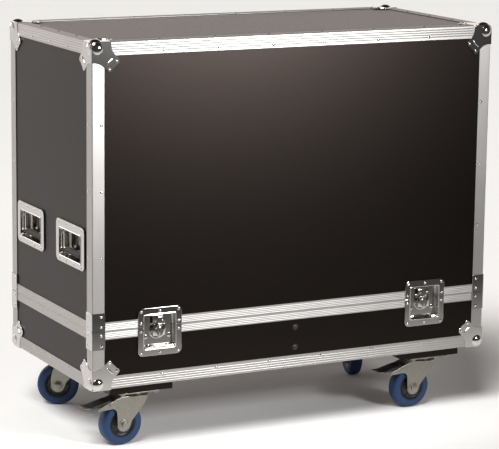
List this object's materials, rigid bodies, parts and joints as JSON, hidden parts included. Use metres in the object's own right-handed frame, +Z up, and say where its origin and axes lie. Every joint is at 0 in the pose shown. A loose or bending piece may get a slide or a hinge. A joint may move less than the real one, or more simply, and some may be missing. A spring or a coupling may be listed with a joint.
{
  "type": "equipment rack case",
  "caption": "Upright touring case on swivel castors: a shallow padded tray and a tall lift-off hood, held by recessed butterfly latches, with ball corners and recessed handles.",
  "frame": {"origin": "on the floor, under the middle of the case", "axes": "+X to the right end seen from the front, +Y towards the back, +Z up"},
  "size_m": [1.038, 0.496, 0.9335],
  "materials": {
    "laminated_panel": "plywood faced with a dark, fine-pebbled laminate",
    "divider_plywood": "stained plywood, satin",
    "aluminium_edging": "fine-ribbed satin extrusion",
    "bright_steel": "pressed sheet, bright plated",
    "zinc_castor": "zinc plated",
    "blue_tyre": "satin elastic tyre on a black rim",
    "black_pedal": "satin black",
    "dark_grip": "grip moulded on a steel bar",
    "foam_lining": "matte black foam"
  },
  "bodies": {
    "base": {"base_back_panel": "laminated_panel", "base_bottom_panel": "laminated_panel", "base_edging": "aluminium_edging", "base_foam": "foam_lining", "base_front_panel": "laminated_panel", "base_left_panel": "laminated_panel", "base_right_panel": "laminated_panel", "base_rim": "aluminium_edging", "castor_plate_fl": "zinc_castor", "castor_plate_fr": "zinc_castor", "castor_plate_rl": "zinc_castor", "castor_plate_rr": "zinc_castor", "divider_board": "divider_plywood", "latch_lower_dish_back_left": "bright_steel", "latch_lower_dish_back_right": "bright_steel", "latch_lower_dish_front_left": "bright_steel", "latch_lower_dish_front_right": "bright_steel"},
    "hood": {"handle_dish_left_back": "bright_steel", "handle_dish_left_front": "bright_steel", "handle_dish_right_back": "bright_steel", "handle_dish_right_front": "bright_steel", "hood_back_panel": "laminated_panel", "hood_edging": "aluminium_edging", "hood_foam": "foam_lining", "hood_front_panel": "laminated_panel", "hood_left_panel": "laminated_panel", "hood_right_panel": "laminated_panel", "hood_rim": "aluminium_edging", "hood_top_panel": "laminated_panel", "latch_upper_dish_back_left": "bright_steel", "latch_upper_dish_back_right": "bright_steel", "latch_upper_dish_front_left": "bright_steel", "latch_upper_dish_front_right": "bright_steel"},
    "spindle_front_left": {"latch_spindle_front_left": "bright_steel"},
    "wing_front_left": {"latch_wing_front_left": "bright_steel"},
    "hook_front_left": {"latch_hook_front_left": "bright_steel"},
    "spindle_front_right": {"latch_spindle_front_right": "bright_steel"},
    "wing_front_right": {"latch_wing_front_right": "bright_steel"},
    "hook_front_right": {"latch_hook_front_right": "bright_steel"},
    "spindle_back_left": {"latch_spindle_back_left": "bright_steel"},
    "wing_back_left": {"latch_wing_back_left": "bright_steel"},
    "hook_back_left": {"latch_hook_back_left": "bright_steel"},
    "spindle_back_right": {"latch_spindle_back_right": "bright_steel"},
    "wing_back_right": {"latch_wing_back_right": "bright_steel"},
    "hook_back_right": {"latch_hook_back_right": "bright_steel"},
    "bail_left_front": {"handle_bail_left_front": "dark_grip"},
    "bail_left_back": {"handle_bail_left_back": "dark_grip"},
    "bail_right_front": {"handle_bail_right_front": "dark_grip"},
    "bail_right_back": {"handle_bail_right_back": "dark_grip"},
    "fork_fl": {"castor_fork_fl": "zinc_castor"},
    "wheel_fl": {"castor_wheel_fl": "blue_tyre"},
    "pedal_fl": {"brake_pedal_fl": "black_pedal"},
    "fork_fr": {"castor_fork_fr": "zinc_castor"},
    "wheel_fr": {"castor_wheel_fr": "blue_tyre"},
    "pedal_fr": {"brake_pedal_fr": "black_pedal"},
    "fork_rl": {"castor_fork_rl": "zinc_castor"},
    "wheel_rl": {"castor_wheel_rl": "blue_tyre"},
    "fork_rr": {"castor_fork_rr": "zinc_castor"},
    "wheel_rr": {"castor_wheel_rr": "blue_tyre"}
  },
  "joints": [
    {"name": "hood_lift", "type": "slide", "parent": "base", "child": "hood", "axis": [0, 0, 1], "range_m": [0, 0.65]},
    {"name": "latch_turn_front_left", "type": "hinge", "parent": "base", "child": "spindle_front_left", "pos_m": [-0.3475, -0.2415, 0.2715], "axis": [0, 1, 0], "range_deg": [0, 180]},
    {"name": "wing_fold_front_left", "type": "hinge", "parent": "spindle_front_left", "child": "wing_front_left", "pos_m": [-0.3475, -0.2403, 0.284], "axis": [-1, 0, 0], "range_deg": [0, 90]},
    {"name": "hook_draw_front_left", "type": "slide", "parent": "base", "child": "hook_front_left", "axis": [0, 0.3338, -0.9426], "range_m": [0, 0.01]},
    {"name": "latch_turn_front_right", "type": "hinge", "parent": "base", "child": "spindle_front_right", "pos_m": [0.3475, -0.2415, 0.2715], "axis": [0, 1, 0], "range_deg": [0, 180]},
    {"name": "wing_fold_front_right", "type": "hinge", "parent": "spindle_front_right", "child": "wing_front_right", "pos_m": [0.3475, -0.2403, 0.284], "axis": [-1, 0, 0], "range_deg": [0, 90]},
    {"name": "hook_draw_front_right", "type": "slide", "parent": "base", "child": "hook_front_right", "axis": [0, 0.3338, -0.9426], "range_m": [0, 0.01]},
    {"name": "latch_turn_back_left", "type": "hinge", "parent": "base", "child": "spindle_back_left", "pos_m": [-0.3475, 0.2415, 0.2715], "axis": [0, -1, 0], "range_deg": [0, 180]},
    {"name": "wing_fold_back_left", "type": "hinge", "parent": "spindle_back_left", "child": "wing_back_left", "pos_m": [-0.3475, 0.2403, 0.284], "axis": [1, 0, 0], "range_deg": [0, 90]},
    {"name": "hook_draw_back_left", "type": "slide", "parent": "base", "child": "hook_back_left", "axis": [0, -0.3338, -0.9426], "range_m": [0, 0.01]},
    {"name": "latch_turn_back_right", "type": "hinge", "parent": "base", "child": "spindle_back_right", "pos_m": [0.3475, 0.2415, 0.2715], "axis": [0, -1, 0], "range_deg": [0, 180]},
    {"name": "wing_fold_back_right", "type": "hinge", "parent": "spindle_back_right", "child": "wing_back_right", "pos_m": [0.3475, 0.2403, 0.284], "axis": [1, 0, 0], "range_deg": [0, 90]},
    {"name": "hook_draw_back_right", "type": "slide", "parent": "base", "child": "hook_back_right", "axis": [0, -0.3338, -0.9426], "range_m": [0, 0.01]},
    {"name": "handle_swing_left_front", "type": "hinge", "parent": "hood", "child": "bail_left_front", "pos_m": [-0.503, -0.1185, 0.481], "axis": [0, 1, 0], "range_deg": [0, 90], "stiffness_Nm_per_rad": 0.12},
    {"name": "handle_swing_left_back", "type": "hinge", "parent": "hood", "child": "bail_left_back", "pos_m": [-0.503, 0.1185, 0.481], "axis": [0, 1, 0], "range_deg": [0, 90], "stiffness_Nm_per_rad": 0.12},
    {"name": "handle_swing_right_front", "type": "hinge", "parent": "hood", "child": "bail_right_front", "pos_m": [0.503, -0.1185, 0.481], "axis": [0, -1, 0], "range_deg": [0, 90], "stiffness_Nm_per_rad": 0.12},
    {"name": "handle_swing_right_back", "type": "hinge", "parent": "hood", "child": "bail_right_back", "pos_m": [0.503, 0.1185, 0.481], "axis": [0, -1, 0], "range_deg": [0, 90], "stiffness_Nm_per_rad": 0.12},
    {"name": "castor_swivel_fl", "type": "hinge", "parent": "base", "child": "fork_fl", "pos_m": [-0.3825, -0.1785, 0.11], "axis": [0, 0, 1], "continuous": true},
    {"name": "castor_roll_fl", "type": "hinge", "parent": "fork_fl", "child": "wheel_fl", "pos_m": [-0.41845, -0.18038, 0.05], "axis": [0.0523, -0.9986, 0], "continuous": true},
    {"name": "brake_press_fl", "type": "hinge", "parent": "fork_fl", "child": "pedal_fl", "pos_m": [-0.45041, -0.18206, 0.1035], "axis": [0.0523, -0.9986, 0], "range_deg": [0, 12], "stiffness_Nm_per_rad": 4, "springref_deg": -2.86},
    {"name": "castor_swivel_fr", "type": "hinge", "parent": "base", "child": "fork_fr", "pos_m": [0.3825, -0.1785, 0.11], "axis": [0, 0, 1], "continuous": true},
    {"name": "castor_roll_fr", "type": "hinge", "parent": "fork_fr", "child": "wheel_fr", "pos_m": [0.34652, -0.17976, 0.05], "axis": [0.0349, -0.9994, 0], "continuous": true},
    {"name": "brake_press_fr", "type": "hinge", "parent": "fork_fr", "child": "pedal_fr", "pos_m": [0.31454, -0.18087, 0.1035], "axis": [0.0349, -0.9994, 0], "range_deg": [0, 12], "stiffness_Nm_per_rad": 4, "springref_deg": -2.86},
    {"name": "castor_swivel_rl", "type": "hinge", "parent": "base", "child": "fork_rl", "pos_m": [-0.3825, 0.1785, 0.11], "axis": [0, 0, 1], "continuous": true},
    {"name": "castor_roll_rl", "type": "hinge", "parent": "fork_rl", "child": "wheel_rl", "pos_m": [-0.41513, 0.19371, 0.05], "axis": [-0.4226, -0.9063, 0], "continuous": true},
    {"name": "castor_swivel_rr", "type": "hinge", "parent": "base", "child": "fork_rr", "pos_m": [0.3825, 0.1785, 0.11], "axis": [0, 0, 1], "continuous": true},
    {"name": "castor_roll_rr", "type": "hinge", "parent": "fork_rr", "child": "wheel_rr", "pos_m": [0.37379, 0.14357, 0.05], "axis": [0.9703, -0.2419, 0], "continuous": true}
  ],
  "couplings": [
    {"joint": "hook_draw_front_left", "follows": "latch_turn_front_left", "m_per_rad": 0.0031828},
    {"joint": "hook_draw_front_right", "follows": "latch_turn_front_right", "m_per_rad": 0.0031828},
    {"joint": "hook_draw_back_left", "follows": "latch_turn_back_left", "m_per_rad": 0.0031828},
    {"joint": "hook_draw_back_right", "follows": "latch_turn_back_right", "m_per_rad": 0.0031828}
  ]
}
